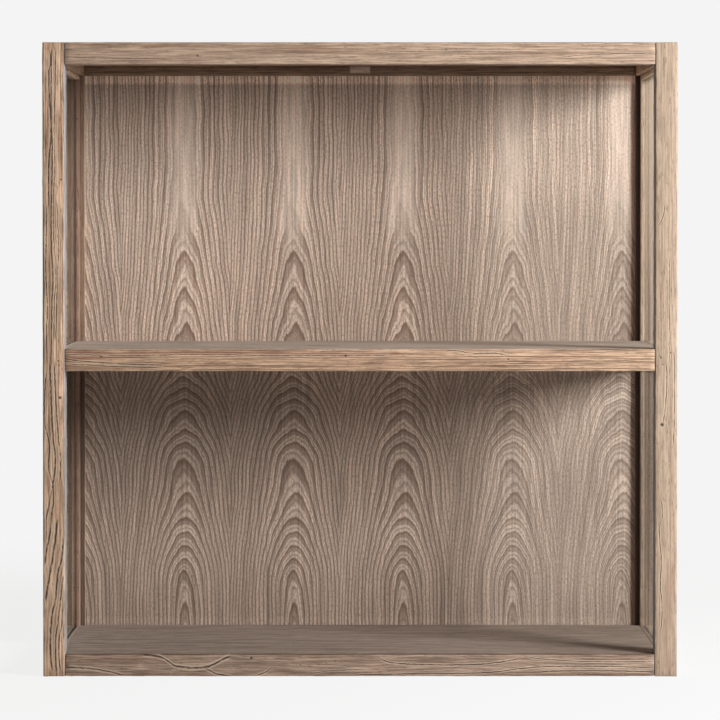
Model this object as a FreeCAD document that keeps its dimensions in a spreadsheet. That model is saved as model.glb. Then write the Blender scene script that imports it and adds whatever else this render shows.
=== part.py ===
import FreeCAD, Part
import os

# Open-fronted bookcase with glazed sides: a frame of square posts and rails,
# one fixed shelf, a veneered back and four panes held by pinned beads.
# +X is the right-hand side, -Y the open front, +Z up. The origin is on the
# ground, at the centre of the footprint. All lengths are in millimetres.

doc = FreeCAD.newDocument("Bookcase")
sheet = doc.addObject("Spreadsheet::Sheet", "Dims")

DRIVING_DIMENSIONS = (
    # the whole case
    ("width", 1000),
    ("depth", 380),
    ("height", 1000),
    ("ground_gap", 0.5),
    ("shelf_underside", 482),
    # frame timbers
    ("post", 35),
    ("rail", 35),
    ("lip", 16),
    ("arris", 1),
    # mortise and tenon joints
    ("tenon", 10),
    ("tenon_setback", 5),
    ("tenon_shoulder", 5),
    ("rail_tenon", 22),
    ("side_tenon", 15),
    ("glue_space", 1),
    # boards and back
    ("board", 18),
    ("top_board", 15),
    ("board_play", 0.3),
    ("panel", 9),
    ("panel_setback", 8),
    ("groove", 8),
    ("groove_play", 0.5),
    ("cleat", 20),
    ("stub_tenon", 10),
    ("stub_shoulder", 4),
    # glazing
    ("glass", 4),
    ("bead", 7),
    ("glass_play", 1),
    ("pin_diameter", 1.8),
    ("pin_length", 16),
    ("hole_play", 0.1),
    # stop block under the top rail
    ("block_width", 32),
    ("block_depth", 20),
    ("block_drop", 11),
    # screws
    ("screw_diameter", 4),
    ("screw_head", 8),
    ("head_depth", 2.4),
    ("board_screw", 28),
    ("block_screw", 35),
)

for row, (alias, value) in enumerate(DRIVING_DIMENSIONS, start=1):
    sheet.set("A%d" % row, alias)
    sheet.set("B%d" % row, str(value))
    sheet.setAlias("B%d" % row, alias)
doc.recompute()

# Upright planes, counted outwards from the middle of the case
OUTER_X = "Dims.width / 2"
POST_X = OUTER_X + " - Dims.post"
LIP_X = OUTER_X + " - Dims.lip"
GLASS_X = LIP_X + " - Dims.glass"
BEAD_X = GLASS_X + " - Dims.bead"
OUTER_Y = "Dims.depth / 2"
POST_Y = OUTER_Y + " - Dims.post"
LIP_Y = OUTER_Y + " - Dims.lip"
OPENING_Y = POST_Y + " - Dims.bead"
PANEL_Y = POST_Y + " + Dims.panel_setback"
PANEL_BACK_Y = PANEL_Y + " + Dims.panel"
CLEAT_Y = PANEL_Y + " - Dims.cleat"

# Underside and top of the rails at each level, and the board let into them
RAIL_LEVELS = {
    "bottom": ("Dims.ground_gap", "Dims.ground_gap + Dims.rail"),
    "shelf": ("Dims.shelf_underside", "Dims.shelf_underside + Dims.rail"),
    "top": ("Dims.height - Dims.rail", "Dims.height"),
}
BOARD_THICKNESS = {"bottom": "Dims.board", "shelf": "Dims.board", "top": "Dims.top_board"}
SIDES = (("left", -1), ("right", 1))
FACES = (("front", -1), ("back", 1))
PANES = (("lower", "bottom", "shelf"), ("upper", "shelf", "top"))
GROOVED_HEIGHT = (
    RAIL_LEVELS["bottom"][1] + " - Dims.groove",
    RAIL_LEVELS["top"][0] + " + Dims.groove",
)

# Where fasteners stand along a timber, as shares of its length
BOARD_SCREW_SHARES = (-0.4, 0, 0.4)
UPRIGHT_PIN_SHARES = (0.16, 0.5, 0.84)
LEVEL_PIN_SHARES = (-0.3, 0.3)
BLOCK_SCREW_SHARES = (0.3, 0.7)

# Axis and angle that turn a round solid from +Z to the way it is driven
DRIVEN = {
    "+y": (FreeCAD.Vector(1, 0, 0), -90),
    "-y": (FreeCAD.Vector(1, 0, 0), 90),
    "+z": (FreeCAD.Vector(0, 0, 1), 0),
    "-z": (FreeCAD.Vector(1, 0, 0), 180),
}


def outward(sign, inner, outer):
    """Span from an inner to an outer plane, on the side that sign names."""
    if sign > 0:
        return inner, outer
    return "-(%s)" % outer, "-(%s)" % inner


def both_ways(reach):
    """Span that reaches as far to either side of the middle."""
    return "-(%s)" % reach, reach


def at_share(low, high, share):
    return "%s + ((%s) - (%s)) * %s" % (low, high, low, share)


def piece(label):
    body = doc.addObject("PartDesign::Body", label)
    body.Label = label
    return body


def block(body, kind, name, x, y, z):
    box = body.newObject(kind, body.Name + "_" + name)
    for axis, side, (start, end) in zip("xyz", ("Length", "Width", "Height"), (x, y, z)):
        box.setExpression("Placement.Base." + axis, start)
        box.setExpression(side, "(%s) - (%s)" % (end, start))
    return box


def add(body, name, x, y, z):
    return block(body, "PartDesign::AdditiveBox", name, x, y, z)


def cut(body, name, x, y, z):
    return block(body, "PartDesign::SubtractiveBox", name, x, y, z)


def drive(solid, place, direction):
    """Put a round solid at a place, its axis along the way it is driven."""
    turn = FreeCAD.Rotation(*DRIVEN[direction])
    solid.Placement = FreeCAD.Placement(FreeCAD.Vector(), turn)
    for axis, position in zip("xyz", place):
        solid.setExpression("Placement.Base." + axis, position)
    return solid


def drill(body, name, place, direction, diameter, length):
    hole = body.newObject("PartDesign::SubtractiveCylinder", body.Name + "_" + name)
    hole.setExpression("Radius", "(%s + Dims.hole_play) / 2" % diameter)
    hole.setExpression("Height", length + " + Dims.hole_play")
    return drive(hole, place, direction)


def countersink(body, name, place, direction):
    cone = body.newObject("PartDesign::SubtractiveCone", body.Name + "_" + name)
    cone.setExpression("Radius1", "(Dims.screw_head + Dims.hole_play) / 2")
    cone.setExpression("Radius2", "(Dims.screw_diameter + Dims.hole_play) / 2")
    cone.setExpression("Height", "Dims.head_depth")
    return drive(cone, place, direction)


def ease_edges(body, box, axis, sharp):
    """Take the arris off the edges along one axis that the test picks."""
    doc.recompute()
    names = []
    for number, edge in enumerate(box.Shape.Edges, start=1):
        start, end = edge.Vertexes[0].Point, edge.Vertexes[1].Point
        if abs(getattr(end - start, axis)) > edge.Length / 2 and sharp(start):
            names.append("Edge%d" % number)
    chamfer = body.newObject("PartDesign::Chamfer", body.Name + "_arris")
    chamfer.Base = (box, names)
    chamfer.setExpression("Size", "Dims.arris")
    return chamfer


def on_outer_face(position, sign, whole):
    """Whether a corner lies on the outer face of the case."""
    return abs(position * sign - sheet.get(whole) / 2) < sheet.get("arris")


def tenon_cheeks(outer):
    """The two cheeks of a tenon that is set back from an outer face."""
    cheek = outer + " - Dims.tenon_setback"
    return cheek + " - Dims.tenon", cheek


def tenon_height(level):
    low, high = RAIL_LEVELS[level]
    return low + " + Dims.tenon_shoulder", high + " - Dims.tenon_shoulder"


def board_height(level):
    high = RAIL_LEVELS[level][1]
    return high + " - " + BOARD_THICKNESS[level], high


# Pins: where they enter the beads of a pane, and the way they are driven

def pane_height(low_level, high_level):
    """From the seat in the lower rail to the underside of the upper rail."""
    return RAIL_LEVELS[low_level][1] + " - Dims.bead", RAIL_LEVELS[high_level][0]


def pin_places(x_sign, low_level, high_level):
    """Bead, place and direction of every pin round one pane."""
    low, high = pane_height(low_level, high_level)
    middle = "%d * (%s + Dims.bead / 2)" % (x_sign, BEAD_X)
    places = []
    for face, y_sign in FACES:
        entry = "%d * (%s)" % (y_sign, OPENING_Y)
        direction = "+y" if y_sign > 0 else "-y"
        for share in UPRIGHT_PIN_SHARES:
            places.append((face, (middle, entry, at_share(low, high, share)), direction))
    for bead, level, direction in (("sill", low + " + Dims.bead", "-z"), ("head", high + " - Dims.bead", "+z")):
        for share in LEVEL_PIN_SHARES:
            places.append((bead, (middle, "(%s) * 2 * %s" % (OPENING_Y, share), level), direction))
    return places


def pin_holes(body, x_sign, panes, bead):
    """Drill one timber or bead for the pins that enter through that bead."""
    number = 0
    for low_level, high_level in panes:
        for name, place, direction in pin_places(x_sign, low_level, high_level):
            if name == bead:
                number += 1
                drill(body, "pin_hole_%s_%d" % (bead, number), place, direction,
                      "Dims.pin_diameter", "Dims.pin_length")


# Frame

def post(side, x_sign, face, y_sign):
    body = piece("post_%s_%s" % (face, side))
    height = ("0", "Dims.height")
    shaft = add(body, "shaft", outward(x_sign, POST_X, OUTER_X), outward(y_sign, POST_Y, OUTER_Y), height)

    def sharp(corner):
        return on_outer_face(corner.y, y_sign, "depth") or not on_outer_face(corner.x, x_sign, "width")

    ease_edges(body, shaft, "z", sharp)
    add(body, "lip", outward(x_sign, LIP_X, OUTER_X), outward(y_sign, OPENING_Y, POST_Y), height)
    for level in RAIL_LEVELS:
        cut(body, "rail_mortise_" + level,
            outward(x_sign, POST_X, POST_X + " + Dims.rail_tenon + Dims.glue_space"),
            outward(y_sign, *tenon_cheeks(OUTER_Y)), tenon_height(level))
        cut(body, "side_mortise_" + level, outward(x_sign, *tenon_cheeks(OUTER_X)),
            outward(y_sign, OPENING_Y, POST_Y + " + Dims.side_tenon + Dims.glue_space"),
            tenon_height(level))
    if face == "back":
        cut(body, "panel_groove", outward(x_sign, POST_X, POST_X + " + Dims.groove"),
            (PANEL_Y, PANEL_BACK_Y), GROOVED_HEIGHT)
    pin_holes(body, x_sign, [pane[1:] for pane in PANES], face)
    return body


def cross_rail(face, y_sign, level):
    """A rail across the front or the back, tenoned into both posts."""
    body = piece("rail_%s_%s" % (face, level))
    low, high = RAIL_LEVELS[level]
    beam = add(body, "beam", both_ways(POST_X), outward(y_sign, POST_Y, OUTER_Y), (low, high))
    ease_edges(body, beam, "x", lambda corner: on_outer_face(corner.y, y_sign, "depth"))
    add(body, "tenons", both_ways(POST_X + " + Dims.rail_tenon"),
        outward(y_sign, *tenon_cheeks(OUTER_Y)), tenon_height(level))
    if face == "back" and level == "bottom":
        cut(body, "board_seat", both_ways(POST_X), (POST_Y, PANEL_Y), board_height(level))
    else:
        cut(body, "board_seat", both_ways(POST_X), outward(y_sign, POST_Y, LIP_Y), board_height(level))
    if face == "back":
        depth = GROOVED_HEIGHT[0 if level == "bottom" else 1]
        edge = high if level == "bottom" else low
        cut(body, "panel_groove", both_ways(POST_X), (PANEL_Y, PANEL_BACK_Y),
            (depth, edge) if level == "bottom" else (edge, depth))
    for number, place in enumerate(board_screw_places(level)):
        if on_this_rail(number, y_sign):
            drill(body, "screw_hole_%d" % number, place, "+z", "Dims.screw_diameter", "Dims.board_screw")
            countersink(body, "countersink_%d" % number, place, "+z")
    return body


def side_rail(side, x_sign, level):
    """A rail along the depth, with a longer shoulder inside than outside."""
    body = piece("rail_%s_%s" % (side, level))
    low, high = RAIL_LEVELS[level]
    add(body, "inner", outward(x_sign, POST_X, LIP_X), both_ways(POST_Y), (low, high))
    outer_low = low if level == "bottom" else low + " - Dims.bead"
    add(body, "outer", outward(x_sign, LIP_X, OUTER_X), both_ways(OPENING_Y), (outer_low, high))
    add(body, "tenons", outward(x_sign, *tenon_cheeks(OUTER_X)),
        both_ways(POST_Y + " + Dims.side_tenon"), tenon_height(level))
    if level == "top":
        cut(body, "board_seat", outward(x_sign, POST_X, LIP_X), both_ways(POST_Y), board_height(level))
    else:
        cut(body, "board_seat", outward(x_sign, POST_X, BEAD_X), both_ways(POST_Y), board_height(level))
        cut(body, "glass_seat", outward(x_sign, BEAD_X, LIP_X), both_ways(POST_Y),
            (high + " - Dims.bead", high))
        pin_holes(body, x_sign, [pane[1:] for pane in PANES if pane[1] == level], "sill")
    if level != "bottom":
        pin_holes(body, x_sign, [pane[1:] for pane in PANES if pane[2] == level], "head")
    if level == "shelf":
        cut(body, "cleat_mortise", outward(x_sign, POST_X, POST_X + " + Dims.stub_tenon"),
            stub_cheeks(), stub_height())
    return body


def cleat_height():
    low = RAIL_LEVELS["shelf"][0]
    return low, board_height("shelf")[0]


def stub_cheeks():
    return CLEAT_Y + " + Dims.stub_shoulder", POST_Y + " - Dims.stub_shoulder"


def stub_height():
    low, high = cleat_height()
    return low + " + Dims.stub_shoulder", high + " - Dims.stub_shoulder"


def shelf_cleat():
    """The rail under the back of the shelf, stub-tenoned to the side rails."""
    body = piece("rail_back_shelf")
    low, high = cleat_height()
    add(body, "beam", both_ways(POST_X), (CLEAT_Y, PANEL_Y + " - Dims.board_play"), (low, high))
    add(body, "tenons", both_ways(POST_X + " + Dims.stub_tenon"), stub_cheeks(), stub_height())
    for number, place in enumerate(board_screw_places("shelf")):
        if on_this_rail(number, 1):
            drill(body, "screw_hole_%d" % number, place, "+z", "Dims.screw_diameter", "Dims.board_screw")
            countersink(body, "countersink_%d" % number, place, "+z")
    return body


# Boards and back

def board(label, level, reach_x):
    """A board cut round the four posts and let into the rails."""
    body = piece(label)
    front = "-(%s - Dims.board_play)" % LIP_Y
    back = (LIP_Y if level == "top" else PANEL_Y) + " - Dims.board_play"
    heights = board_height(level)
    add(body, "sheet", both_ways(reach_x + " - Dims.board_play"), (front, back), heights)
    for side, x_sign in SIDES:
        notch_x = outward(x_sign, POST_X + " - Dims.board_play", reach_x)
        cut(body, "front_notch_" + side, notch_x, (front, "-(%s - Dims.board_play)" % POST_Y), heights)
        cut(body, "back_notch_" + side, notch_x, (POST_Y + " - Dims.board_play", back), heights)
    for number, place in enumerate(board_screw_places(level)):
        drill(body, "screw_hole_%d" % number, place, "+z", "Dims.screw_diameter", "Dims.board_screw")
    return body


def back_panel():
    body = piece("back_panel")
    low, high = GROOVED_HEIGHT
    add(body, "sheet", both_ways(POST_X + " + Dims.groove - Dims.groove_play"),
        (PANEL_Y, PANEL_BACK_Y), (low, high + " - Dims.groove_play"))
    return body


# Glazing

def pane(side, x_sign, name, low_level, high_level):
    body = piece("glass_%s_%s" % (side, name))
    low, high = pane_height(low_level, high_level)
    add(body, "sheet", outward(x_sign, GLASS_X, LIP_X), both_ways(POST_Y + " - Dims.glass_play"),
        (low, high + " - Dims.glass_play"))
    return body


def beads(side, x_sign, name, low_level, high_level):
    """Four square beads: two uprights, with the sill and head between."""
    low, high = pane_height(low_level, high_level)
    thickness = outward(x_sign, BEAD_X, GLASS_X)
    made = []
    spans = {
        "front": (outward(-1, OPENING_Y, POST_Y), (low, high)),
        "back": (outward(1, OPENING_Y, POST_Y), (low, high)),
        "sill": (both_ways(OPENING_Y), (low, low + " + Dims.bead")),
        "head": (both_ways(OPENING_Y), (high + " - Dims.bead", high)),
    }
    for place, (run, heights) in spans.items():
        body = piece("bead_%s_%s_%s" % (side, name, place))
        add(body, "strip", thickness, run, heights)
        pin_holes(body, x_sign, [(low_level, high_level)], place)
        made.append(body)
    return made


# Fasteners

def on_this_rail(number, y_sign):
    """Board screws are listed front rail first, then back rail."""
    in_front = number < len(BOARD_SCREW_SHARES)
    return in_front == (y_sign < 0)


def board_screw_places(level):
    """Three along the front rail, and three along the rail under the back of the shelf."""
    low = RAIL_LEVELS[level][0]
    rows = ["-((%s) + (%s)) / 2" % (POST_Y, LIP_Y)]
    if level == "shelf":
        rows.append("((%s) + (%s)) / 2" % (CLEAT_Y, POST_Y))
    return [("Dims.width * %s" % share, y, low) for y in rows for share in BOARD_SCREW_SHARES]


def block_height():
    return RAIL_LEVELS["top"][0] + " - Dims.block_drop", board_height("top")[0]


def block_screw_places():
    low, high = block_height()
    upper_low = RAIL_LEVELS["top"][0]
    back = "-(%s - Dims.block_depth)" % POST_Y
    middle = "(%s + %s) / 2" % (upper_low, high)
    return [("Dims.block_width * (%s - 0.5)" % share, back, middle) for share in BLOCK_SCREW_SHARES]


def screw_group(label, places, direction, length):
    """Countersunk screws, as one group of separate solids."""
    screws = []
    for number, place in enumerate(places):
        shank = doc.addObject("Part::Cylinder", "%s_shank_%d" % (label, number))
        shank.setExpression("Radius", "Dims.screw_diameter / 2")
        shank.setExpression("Height", length)
        head = doc.addObject("Part::Cone", "%s_head_%d" % (label, number))
        head.setExpression("Radius1", "Dims.screw_head / 2")
        head.setExpression("Radius2", "Dims.screw_diameter / 2")
        head.setExpression("Height", "Dims.head_depth")
        screw = doc.addObject("Part::Fuse", "%s_%d" % (label, number))
        screw.Base = drive(shank, place, direction)
        screw.Tool = drive(head, place, direction)
        screws.append(screw)
    return group(label, screws)


def pin_group(side, x_sign, name, low_level, high_level):
    label = "bead_pins_%s_%s" % (side, name)
    pins = []
    for number, (bead, place, direction) in enumerate(pin_places(x_sign, low_level, high_level)):
        pin = doc.addObject("Part::Cylinder", "%s_%d" % (label, number))
        pin.setExpression("Radius", "Dims.pin_diameter / 2")
        pin.setExpression("Height", "Dims.pin_length")
        pins.append(drive(pin, place, direction))
    return group(label, pins)


def group(label, solids):
    compound = doc.addObject("Part::Compound", label)
    compound.Label = label
    compound.Links = solids
    return compound


def stop_block():
    """A small block behind the front top rail that hangs below it."""
    body = piece("stop_block")
    back = "-(%s - Dims.block_depth)" % POST_Y
    add(body, "block", both_ways("Dims.block_width / 2"), ("-(%s)" % POST_Y, back), block_height())
    block_screw_holes(body)
    for number, place in enumerate(block_screw_places()):
        countersink(body, "countersink_%d" % number, place, "-y")
    return body


def block_screw_holes(body):
    for number, place in enumerate(block_screw_places()):
        drill(body, "block_screw_hole_%d" % number, place, "-y", "Dims.screw_diameter", "Dims.block_screw")


# The whole case

parts = []
for side, x_sign in SIDES:
    for face, y_sign in FACES:
        parts.append(post(side, x_sign, face, y_sign))
    for level in RAIL_LEVELS:
        parts.append(side_rail(side, x_sign, level))
    for name, low_level, high_level in PANES:
        parts.append(pane(side, x_sign, name, low_level, high_level))
        parts.extend(beads(side, x_sign, name, low_level, high_level))
        parts.append(pin_group(side, x_sign, name, low_level, high_level))
for level in RAIL_LEVELS:
    front_rail = cross_rail("front", -1, level)
    parts.append(front_rail)
block_screw_holes(front_rail)
parts.append(cross_rail("back", 1, "bottom"))
parts.append(shelf_cleat())
parts.append(cross_rail("back", 1, "top"))
parts.append(board("floor_board", "bottom", BEAD_X))
parts.append(board("shelf_board", "shelf", BEAD_X))
parts.append(board("top_board", "top", LIP_X))
parts.append(back_panel())
parts.append(stop_block())
for label, level in (("floor_screws", "bottom"), ("shelf_screws", "shelf"), ("top_screws", "top")):
    parts.append(screw_group(label, board_screw_places(level), "+z", "Dims.board_screw"))
parts.append(screw_group("block_screws", block_screw_places(), "-y", "Dims.block_screw"))
doc.recompute()

# Every object has to be sound before a file is written
for item in doc.Objects:
    if "Invalid" in item.State or "Error" in item.State:
        raise RuntimeError("%s did not rebuild: %s" % (item.Name, item.State))
for part in parts:
    if part.Shape.isNull() or not part.Shape.isValid() or not part.Shape.Solids:
        raise RuntimeError("%s has no sound solid" % part.Label)

os.makedirs("parts", exist_ok=True)
for part in parts:
    part.Shape.exportStep("parts/%s.step" % part.Label)
print("%d pieces written" % len(parts))
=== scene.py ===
import math

import bpy
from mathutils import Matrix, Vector


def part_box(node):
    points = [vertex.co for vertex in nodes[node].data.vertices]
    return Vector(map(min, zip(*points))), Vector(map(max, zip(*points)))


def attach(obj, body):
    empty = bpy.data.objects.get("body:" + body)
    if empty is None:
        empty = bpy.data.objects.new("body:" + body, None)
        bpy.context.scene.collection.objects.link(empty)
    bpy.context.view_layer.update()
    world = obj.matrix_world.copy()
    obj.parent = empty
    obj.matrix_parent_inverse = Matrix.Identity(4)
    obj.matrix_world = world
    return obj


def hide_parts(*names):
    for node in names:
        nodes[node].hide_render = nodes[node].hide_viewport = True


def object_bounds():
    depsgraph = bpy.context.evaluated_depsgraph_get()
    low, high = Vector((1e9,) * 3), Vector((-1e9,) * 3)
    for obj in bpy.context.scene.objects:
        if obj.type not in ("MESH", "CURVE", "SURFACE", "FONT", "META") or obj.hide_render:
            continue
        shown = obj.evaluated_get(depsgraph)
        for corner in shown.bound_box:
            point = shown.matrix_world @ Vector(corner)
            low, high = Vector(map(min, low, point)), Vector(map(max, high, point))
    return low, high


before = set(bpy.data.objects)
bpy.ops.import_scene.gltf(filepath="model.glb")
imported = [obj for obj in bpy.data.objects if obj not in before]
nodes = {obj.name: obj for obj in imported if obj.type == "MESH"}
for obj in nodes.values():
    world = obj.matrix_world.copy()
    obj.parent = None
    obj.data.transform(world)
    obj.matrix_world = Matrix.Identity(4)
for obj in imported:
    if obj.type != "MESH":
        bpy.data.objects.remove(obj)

MM = 0.001
cad_low, cad_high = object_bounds()

# Sizes of the frame's sections
POST = 35 * MM
LIP = 16 * MM
BEAD = 7 * MM
GLASS = 4 * MM
BOARD = 18 * MM
TOP_BOARD = 15 * MM

# Timbers: easing and wear of the arrises
ARRIS = 0.8 * MM
DENT_DEPTH = 0.25 * MM
CHIP_DEPTH = 0.8 * MM
DENT_SIZE = 14 * MM
CHIP_SIZE = 30 * MM
SEGMENT = 6 * MM
WORN_BAND = 3.5 * MM
# A corner's normal that points along one axis by more than this lies on a flat face, which wears less
FLAT = 0.97
FLAT_WEAR = 0.25
# Angles between faces, in degrees: over the first an edge is eased, under the second it looks smooth
EASE_ANGLE = 40
SOFT_ANGLE = 35
# Beads: easing, and wear of the arrises
BEAD_ARRIS = 1.0 * MM
BEAD_DENT = 0.3 * MM
BEAD_DENT_SIZE = 9 * MM

# The photograph's scale on the plane of the front faces: image points to millimetres
FRONT_SCALE = 1.576
MIDDLE_COLUMN = 359.85
EYE_ROW = 231.0
EYE_HEIGHT = 702.0

# Cracks and dark grain lines on the front faces, as image points along each line, then width in mm
LEFT_STILE_LINES = (
    (((49, 50), (51, 60), (49.3, 75), (50, 100), (51.3, 130), (50, 150), (48.8, 175), (49, 205)), 1.3),
    (((53, 45), (52, 60), (51.5, 110), (52.5, 150), (51.7, 200), (51.5, 240), (52.8, 280), (52, 300),
      (51.5, 330), (50.8, 362)), 1.2),
    (((56, 50), (55.5, 90), (54.5, 130), (55, 170), (53.5, 200), (54.5, 250), (56, 270), (54.5, 300),
      (54, 340)), 0.9),
    (((47, 205), (46.5, 240), (45.8, 262), (46.8, 290), (47.5, 310), (46.5, 330), (47.3, 362)), 1.0),
    (((57, 200), (58, 225), (58.5, 250), (57.3, 280), (56.7, 310), (55.5, 340)), 0.9),
    (((50, 362), (50.8, 393), (51.7, 415), (53.3, 440), (55, 460), (53.3, 480), (49.2, 501),
      (45.8, 520)), 1.4),
    (((54.2, 362), (55.3, 393), (56.7, 415), (58.3, 438), (60.3, 460), (60, 480)), 1.2),
    (((46.7, 370), (44.2, 415), (46.7, 432), (49.2, 447), (48.3, 463), (50.8, 477), (53.3, 492),
      (50, 512)), 1.2),
    (((57, 518), (55, 538), (50.8, 566), (47.5, 585), (45, 602)), 1.9),
    (((63, 536), (61.7, 556), (57.5, 573), (55, 598), (50.8, 621), (50, 645), (51.7, 672)), 1.7),
    (((63.3, 573), (61.7, 585), (58, 618), (55, 645), (55.8, 672)), 1.3),
    (((62.5, 606), (61, 625), (58.3, 645), (60, 672)), 1.2),
    (((51.7, 506), (50, 530), (46.5, 548), (44, 566)), 1.6),
)
RIGHT_STILE_LINES = (
    (((664.5, 203), (662, 217), (657, 226)), 0.8),
    (((669.5, 255), (668.7, 300), (669.5, 342), (667.8, 362)), 0.7),
    (((666.2, 362), (666.4, 385), (665.3, 403), (662.8, 424)), 1.0),
    (((673.7, 350), (674, 418), (672, 447)), 0.8),
    (((658.7, 519), (659.5, 540), (661.2, 560), (660.3, 585), (662, 605), (660.3, 631)), 0.9),
    (((660.5, 500), (662.3, 510), (661.5, 522)), 0.8),
)
BOTTOM_RAIL_LINES = (
    (((65, 667.3), (86, 668), (108, 671.3), (124, 675.6)), 1.3),
    (((140, 654.2), (150, 655), (160, 656.8), (169, 661.8), (176, 666), (184, 666.8), (206, 667.7)), 1.6),
    (((184, 668.3), (206, 666.6), (213, 664), (220, 660.5), (226, 657.5), (232, 654.8)), 1.8),
    (((169, 676.2), (172, 672), (176, 667)), 1.0),
    (((204, 667.3), (210, 670.5), (216, 673.5), (232, 675.9)), 1.3),
    (((257, 674.6), (265, 672), (269.5, 668.5), (270.5, 664.5)), 1.1),
    (((308, 675), (326, 671), (344, 669.8), (362, 669.3)), 0.7),
    (((378, 655), (382, 659.3), (394, 662.7), (420, 664.3), (472, 664.3), (500, 661.8), (521, 657.3)), 1.0),
    (((356, 674.6), (420, 673.5), (480, 672.7), (520, 668.5), (560, 666), (620, 666.5), (652, 667.7)), 0.9),
    (((538, 671.9), (580, 670.5), (652, 671.5)), 0.9),
    (((525, 656), (550, 659.3), (600, 661.5), (656, 661)), 0.8),
)
SHELF_EDGE_LINES = (
    (((66, 353.6), (130, 354.6), (200, 354), (300, 355), (392, 354.4)), 0.8),
    (((66, 358.5), (90, 361), (130, 363.5), (165, 364.6)), 0.9),
    (((66, 363), (100, 365), (160, 367)), 0.8),
    (((446, 349.6), (460, 350.5), (468, 353)), 0.9),
    (((470, 353.5), (494, 352.6), (505, 354.5), (509, 357.5)), 1.0),
)
TOP_RAIL_LINES = (
    (((68, 56.5), (90, 57.5), (120, 58), (160, 58.5)), 0.7),
    (((560, 57), (600, 54), (652, 53)), 0.7),
    (((380, 52), (440, 51), (520, 53)), 0.6),
)

# How much wider a crack is drawn than its line above
CRACK_SPREAD = 1.05
# Across a crack, in shares of its width: the end of its black core, then its pale lip's rise and fall
CRACK_CORE = 0.35
LIP_RISE = (0.8, 1.4)
LIP_FALL = (1.6, 3.0)
# How deep the cracks, spots and stains of the front faces go in, in mm
SKIN = (cad_low.y / MM + 2.0, cad_low.y / MM + 5.0)

# Broad darker streaks on the front faces: image points along each, then half width in mm
LEFT_STILE_STAINS = (
    (((49, 60), (51, 130), (51, 200), (50.5, 280), (51, 350), (52, 420), (54, 470), (51, 520)), 5.0),
    (((57, 518), (54, 545), (49, 575), (45, 604)), 5.5),
    (((63, 560), (57, 600), (54, 640), (55, 672)), 4.5),
)
RIGHT_STILE_STAINS = (
    (((670, 560), (668, 610), (667, 672)), 11.0),
)
SHELF_EDGE_STAINS = (
    (((66, 352), (130, 352.5), (200, 352.2), (300, 353.2), (400, 353)), 4.2),
    (((66, 357), (100, 357), (150, 355)), 5.0),
    (((330, 356), (345, 356), (362, 355)), 3.5),
)
BOTTOM_RAIL_STAINS = (
    (((140, 664), (200, 667), (250, 664), (290, 666)), 9.0),
    (((176, 667), (190, 668.5), (207, 667.5)), 3.2),
    (((66, 660), (100, 662), (140, 664)), 8.0),
    (((300, 662), (400, 660), (500, 659)), 5.0),
)
TOP_RAIL_STAINS = (
    (((140, 46), (240, 47), (340, 49)), 4.0),
    (((68, 57), (110, 58), (170, 59)), 3.0),
)

# Small knots, nail holes and specks: image point, then radius in mm
LEFT_STILE_SPOTS = (
    (61.2, 179, 1.6), (58.3, 360.2, 1.5), (58.9, 364.6, 1.4), (59.8, 397, 2.6), (52, 176, 1.2),
)
RIGHT_STILE_SPOTS = ((660.5, 356.9, 1.5), (662.2, 363.8, 1.2), (661.8, 424, 3.0), (670, 352, 1.2))
BOTTOM_RAIL_SPOTS = (
    (251, 657.7, 2.4), (300, 664.5, 1.1), (309, 666, 1.0), (318, 664, 1.2), (326, 663, 1.0), (335, 661, 1.0),
)
SHELF_EDGE_SPOTS = ((101, 356, 1.6), (345.5, 355, 2.2), (508, 358.5, 1.6))
TOP_RAIL_SPOTS = ((197.5, 55.5, 1.7), (445.5, 49.5, 1.3))

# Back veneer: leaves laid side by side, each with the same arched figure
LEAF_WIDTH = 185.2
LEAF_EDGE = -220.0
ARCH_FROM_EDGE = 108.0
# How far the tree's heart lay behind the face, by height in metres; the arches rise where it grows
HEART_BEHIND = (
    (0.0, 6.0), (0.072, 11.6), (0.121, 17.4), (0.145, 23.2), (0.166, 29.0), (0.190, 34.8), (0.217, 40.6),
    (0.257, 46.4), (0.316, 52.2), (0.346, 58.0), (0.367, 63.3), (0.399, 68.3), (0.417, 73.3), (0.436, 78.3),
    (0.454, 82.8), (0.49, 87.1), (0.55, 91.4), (0.605, 95.7), (0.672, 100.0), (0.747, 103.9), (0.80, 104.9),
    (0.88, 105.05), (1.0, 105.25),
)
# Painted light and shade on the veneer by height in metres: darker below, lighter above
PAINTED_LIGHT_BY_HEIGHT = (
    (0.0, 0.68), (0.059, 0.71), (0.161, 0.82), (0.262, 0.83), (0.364, 0.87), (0.441, 0.96), (0.568, 1.04),
    (0.687, 1.10), (0.789, 1.07), (0.873, 1.05), (0.941, 0.95), (1.0, 0.98),
)
# A curve runs from 0 to 1, so its values are divided by their range
PAINTED_LIGHT_RANGE = 1.25
# Growth rings counted outwards from the heart: the outer ones are narrower
RINGS_FROM_HEART = ((0, 0.0), (60, 10.34), (80, 14.34), (100, 19.0), (120, 24.1), (160, 35.2))
HEART_RANGE = 160.0
RING_RANGE = 36.0
# Moves the flames' lines in, so that they meet in a point, in mm
FLAME_POINT = 4.0
# Below 1 the arches are broader than the tree's rings would make them
ARCH_BREADTH = 0.87

# Camera: where the photograph was taken from
CAMERA_BACK = 4.69
CAMERA_HEIGHT = 0.702
LENS = 148.98
SENSOR = 36.0
LEVEL_SHIFT = -0.1783
KEPT_SHIFT = -0.1105

# One growth ring, in shares of its width: late wood darkens from, to, and ends from
TIMBER_RING = (0.3, 0.85, 0.88)
VENEER_RING = (0.38, 0.84, 0.90)
FINE_RING = (0.3, 0.7, 0.75)
# How far a timber's heart lay from the middle of the case, across the timber and through it, in mm
HEART_BESIDE = (60.0, 45.0)
# Steps that keep the pattern of one piece, ring or leaf apart from the next one's
PIECE_STEP = 731.0
RING_STEP = 7.3
LEAF_STEP = 5.3

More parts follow.
